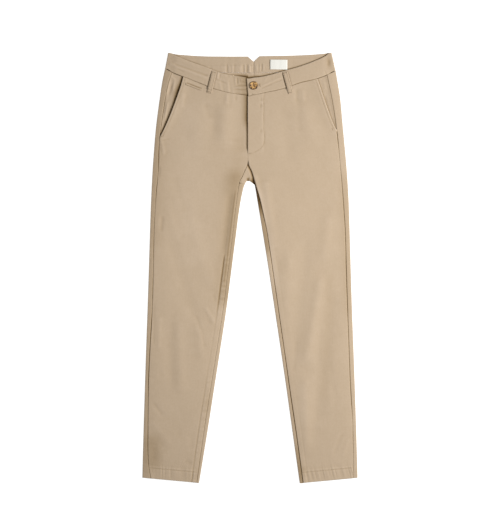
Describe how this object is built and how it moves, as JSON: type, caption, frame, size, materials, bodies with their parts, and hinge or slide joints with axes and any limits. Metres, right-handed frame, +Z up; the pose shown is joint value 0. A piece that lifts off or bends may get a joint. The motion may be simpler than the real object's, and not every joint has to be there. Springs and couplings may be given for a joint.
{
  "type": "chino trousers",
  "caption": "Slim chino trousers in beige cotton twill, laid flat with the front up: slanted front pockets, belt loops, a lapped fly and a buttoned waistband.",
  "frame": {"origin": "middle of the outline, on the surface that the trousers lie on", "axes": "+Z up from that surface, out of the front of the trousers; +Y along them towards the waist; +X towards the wearer's left leg"},
  "size_m": [0.5374, 1.075, 0.0102],
  "materials": {
    "cotton_twill": "matt, slightly brushed twill",
    "label_cloth": "smooth woven",
    "button_horn": "polished, mottled brown"
  },
  "bodies": {
    "root": {"front_right": "cotton_twill", "front_left": "cotton_twill", "back_right": "cotton_twill", "back_left": "cotton_twill", "waistband_right": "cotton_twill", "waistband_left": "cotton_twill", "pocket_facing_right": "cotton_twill", "pocket_facing_left": "cotton_twill", "coin_pocket_welt": "cotton_twill", "belt_loop_front_right": "cotton_twill", "belt_loop_front_left": "cotton_twill", "belt_loop_back_right": "cotton_twill", "belt_loop_back_left": "cotton_twill", "label": "label_cloth", "button": "button_horn"}
  },
  "joints": []
}
